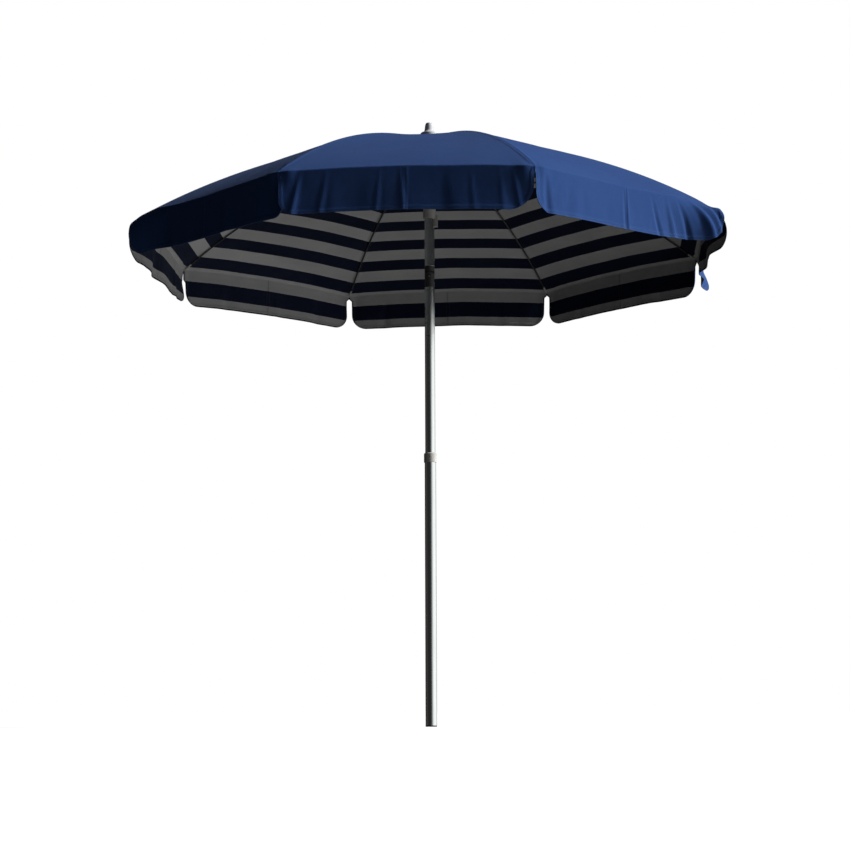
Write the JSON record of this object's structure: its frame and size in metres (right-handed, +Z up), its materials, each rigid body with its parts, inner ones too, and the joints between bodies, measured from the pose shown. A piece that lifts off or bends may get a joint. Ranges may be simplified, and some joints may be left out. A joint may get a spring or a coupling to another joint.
{
  "type": "beach umbrella",
  "caption": "Beach umbrella with a telescoping pole, tilt knuckle, sliding runner and a ribbed polygonal canopy with hanging valance.",
  "frame": {"origin": "centre of the pole's flat foot, on the pole's axis", "axes": "+Z up along the pole; +X towards the side the canopy tilts to and the runner's latch; -Y towards the tilt button and the collar's screw"},
  "size_m": [1.8478, 1.8478, 2.047],
  "materials": {
    "canopy_cloth": "woven, outside navy, inside navy and pale grey bands",
    "pole_aluminium": "polished",
    "dark_metal": "satin",
    "light_plastic": "satin",
    "black_plastic": "matte",
    "silver_plastic": "satin metallic",
    "bright_steel": "brushed"
  },
  "bodies": {
    "lower_pole_body": {"lower_pole": "pole_aluminium", "foot_plug": "black_plastic", "guide_bush": "black_plastic"},
    "collar_body": {"clamp_collar": "light_plastic", "collar_screw": "bright_steel"},
    "upper_pole_body": {"upper_pole": "pole_aluminium", "upper_pole_plug": "black_plastic", "tilt_fork": "dark_metal", "tilt_pin": "bright_steel", "button_spring": "black_plastic"},
    "tilt_button_body": {"tilt_button": "dark_metal"},
    "canopy_pole_body": {"tilt_tongue": "dark_metal", "canopy_pole": "pole_aluminium", "crown": "black_plastic", "crown_ring": "bright_steel", "crown_patch": "canopy_cloth", "finial": "silver_plastic"},
    "runner_body": {"runner": "light_plastic", "latch_pin": "bright_steel"},
    "latch_lever_body": {"latch_lever": "light_plastic"},
    "rib_1_body": {"rib_1": "dark_metal", "rib_tip_1": "light_plastic", "rib_clip_1": "dark_metal", "canopy_section_1": "canopy_cloth"},
    "rib_2_body": {"rib_2": "dark_metal", "rib_tip_2": "light_plastic", "rib_clip_2": "dark_metal", "canopy_section_2": "canopy_cloth"},
    "rib_3_body": {"rib_3": "dark_metal", "rib_tip_3": "light_plastic", "rib_clip_3": "dark_metal", "canopy_section_3": "canopy_cloth"},
    "rib_4_body": {"rib_4": "dark_metal", "rib_tip_4": "light_plastic", "rib_clip_4": "dark_metal", "canopy_section_4": "canopy_cloth"},
    "rib_5_body": {"rib_5": "dark_metal", "rib_tip_5": "light_plastic", "rib_clip_5": "dark_metal", "canopy_section_5": "canopy_cloth"},
    "rib_6_body": {"rib_6": "dark_metal", "rib_tip_6": "light_plastic", "rib_clip_6": "dark_metal", "canopy_section_6": "canopy_cloth"},
    "rib_7_body": {"rib_7": "dark_metal", "rib_tip_7": "light_plastic", "rib_clip_7": "dark_metal", "canopy_section_7": "canopy_cloth"},
    "rib_8_body": {"rib_8": "dark_metal", "rib_tip_8": "light_plastic", "rib_clip_8": "dark_metal", "canopy_section_8": "canopy_cloth"},
    "stretcher_1_body": {"stretcher_1": "dark_metal"},
    "stretcher_2_body": {"stretcher_2": "dark_metal"},
    "stretcher_3_body": {"stretcher_3": "dark_metal"},
    "stretcher_4_body": {"stretcher_4": "dark_metal"},
    "stretcher_5_body": {"stretcher_5": "dark_metal"},
    "stretcher_6_body": {"stretcher_6": "dark_metal"},
    "stretcher_7_body": {"stretcher_7": "dark_metal"},
    "stretcher_8_body": {"stretcher_8": "dark_metal"}
  },
  "joints": [
    {"name": "pole_telescope", "type": "slide", "parent": "lower_pole_body", "child": "upper_pole_body", "axis": [0, 0, 1], "range_m": [-0.12, 0.15]},
    {"name": "collar_twist", "type": "hinge", "parent": "lower_pole_body", "child": "collar_body", "pos_m": [0, 0, 0.891], "axis": [0, 0, 1], "range_deg": [0, 90]},
    {"name": "tilt", "type": "hinge", "parent": "upper_pole_body", "child": "canopy_pole_body", "pos_m": [0, 0, 1.5075], "axis": [0, 1, 0], "range_deg": [0, 30]},
    {"name": "tilt_button_press", "type": "slide", "parent": "upper_pole_body", "child": "tilt_button_body", "axis": [0, 1, 0], "range_m": [0, 0.0025], "stiffness_N_per_m": 900, "springref_m": -0.001, "deforming": ["button_spring"]},
    {"name": "runner_slide", "type": "slide", "parent": "canopy_pole_body", "child": "runner_body", "axis": [0, 0, 1], "range_m": [-0.65036, 0]},
    {"name": "latch_squeeze", "type": "hinge", "parent": "runner_body", "child": "latch_lever_body", "pos_m": [0.0248, 0, 1.716], "axis": [0, -1, 0], "range_deg": [0, 18], "stiffness_Nm_per_rad": 0.4, "springref_deg": -5.73},
    {"name": "rib_1_hinge", "type": "hinge", "parent": "canopy_pole_body", "child": "rib_1_body", "pos_m": [0.02864, 0.01186, 1.962], "axis": [-0.3827, 0.9239, 0], "range_deg": [0, 64], "deforming": ["canopy_section_1"]},
    {"name": "rib_2_hinge", "type": "hinge", "parent": "canopy_pole_body", "child": "rib_2_body", "pos_m": [0.01186, 0.02864, 1.962], "axis": [-0.9239, 0.3827, 0], "range_deg": [0, 64], "deforming": ["canopy_section_2"]},
    {"name": "rib_3_hinge", "type": "hinge", "parent": "canopy_pole_body", "child": "rib_3_body", "pos_m": [-0.01186, 0.02864, 1.962], "axis": [-0.9239, -0.3827, 0], "range_deg": [0, 64], "deforming": ["canopy_section_3"]},
    {"name": "rib_4_hinge", "type": "hinge", "parent": "canopy_pole_body", "child": "rib_4_body", "pos_m": [-0.02864, 0.01186, 1.962], "axis": [-0.3827, -0.9239, 0], "range_deg": [0, 64], "deforming": ["canopy_section_4"]},
    {"name": "rib_5_hinge", "type": "hinge", "parent": "canopy_pole_body", "child": "rib_5_body", "pos_m": [-0.02864, -0.01186, 1.962], "axis": [0.3827, -0.9239, 0], "range_deg": [0, 64], "deforming": ["canopy_section_5"]},
    {"name": "rib_6_hinge", "type": "hinge", "parent": "canopy_pole_body", "child": "rib_6_body", "pos_m": [-0.01186, -0.02864, 1.962], "axis": [0.9239, -0.3827, 0], "range_deg": [0, 64], "deforming": ["canopy_section_6"]},
    {"name": "rib_7_hinge", "type": "hinge", "parent": "canopy_pole_body", "child": "rib_7_body", "pos_m": [0.01186, -0.02864, 1.962], "axis": [0.9239, 0.3827, 0], "range_deg": [0, 64], "deforming": ["canopy_section_7"]},
    {"name": "rib_8_hinge", "type": "hinge", "parent": "canopy_pole_body", "child": "rib_8_body", "pos_m": [0.02864, -0.01186, 1.962], "axis": [0.3827, 0.9239, 0], "range_deg": [0, 64], "deforming": ["canopy_section_8"]},
    {"name": "stretcher_1_hinge", "type": "hinge", "parent": "rib_1_body", "child": "stretcher_1_body", "pos_m": [0.41121, 0.17033, 1.87832], "axis": [-0.3827, 0.9239, 0], "range_deg": [-128, 0]},
    {"name": "stretcher_2_hinge", "type": "hinge", "parent": "rib_2_body", "child": "stretcher_2_body", "pos_m": [0.17033, 0.41121, 1.87832], "axis": [-0.9239, 0.3827, 0], "range_deg": [-128, 0]},
    {"name": "stretcher_3_hinge", "type": "hinge", "parent": "rib_3_body", "child": "stretcher_3_body", "pos_m": [-0.17033, 0.41121, 1.87832], "axis": [-0.9239, -0.3827, 0], "range_deg": [-128, 0]},
    {"name": "stretcher_4_hinge", "type": "hinge", "parent": "rib_4_body", "child": "stretcher_4_body", "pos_m": [-0.41121, 0.17033, 1.87832], "axis": [-0.3827, -0.9239, 0], "range_deg": [-128, 0]},
    {"name": "stretcher_5_hinge", "type": "hinge", "parent": "rib_5_body", "child": "stretcher_5_body", "pos_m": [-0.41121, -0.17033, 1.87832], "axis": [0.3827, -0.9239, 0], "range_deg": [-128, 0]},
    {"name": "stretcher_6_hinge", "type": "hinge", "parent": "rib_6_body", "child": "stretcher_6_body", "pos_m": [-0.17033, -0.41121, 1.87832], "axis": [0.9239, -0.3827, 0], "range_deg": [-128, 0]},
    {"name": "stretcher_7_hinge", "type": "hinge", "parent": "rib_7_body", "child": "stretcher_7_body", "pos_m": [0.17033, -0.41121, 1.87832], "axis": [0.9239, 0.3827, 0], "range_deg": [-128, 0]},
    {"name": "stretcher_8_hinge", "type": "hinge", "parent": "rib_8_body", "child": "stretcher_8_body", "pos_m": [0.41121, -0.17033, 1.87832], "axis": [0.3827, 0.9239, 0], "range_deg": [-128, 0]}
  ],
  "couplings": [
    {"joint": "rib_1_hinge", "follows": "runner_slide", "rad_per_m": -1.7175},
    {"joint": "rib_2_hinge", "follows": "runner_slide", "rad_per_m": -1.7175},
    {"joint": "rib_3_hinge", "follows": "runner_slide", "rad_per_m": -1.7175},
    {"joint": "rib_4_hinge", "follows": "runner_slide", "rad_per_m": -1.7175},
    {"joint": "rib_5_hinge", "follows": "runner_slide", "rad_per_m": -1.7175},
    {"joint": "rib_6_hinge", "follows": "runner_slide", "rad_per_m": -1.7175},
    {"joint": "rib_7_hinge", "follows": "runner_slide", "rad_per_m": -1.7175},
    {"joint": "rib_8_hinge", "follows": "runner_slide", "rad_per_m": -1.7175},
    {"joint": "stretcher_1_hinge", "follows": "runner_slide", "rad_per_m": 3.435},
    {"joint": "stretcher_2_hinge", "follows": "runner_slide", "rad_per_m": 3.435},
    {"joint": "stretcher_3_hinge", "follows": "runner_slide", "rad_per_m": 3.435},
    {"joint": "stretcher_4_hinge", "follows": "runner_slide", "rad_per_m": 3.435},
    {"joint": "stretcher_5_hinge", "follows": "runner_slide", "rad_per_m": 3.435},
    {"joint": "stretcher_6_hinge", "follows": "runner_slide", "rad_per_m": 3.435},
    {"joint": "stretcher_7_hinge", "follows": "runner_slide", "rad_per_m": 3.435},
    {"joint": "stretcher_8_hinge", "follows": "runner_slide", "rad_per_m": 3.435}
  ]
}
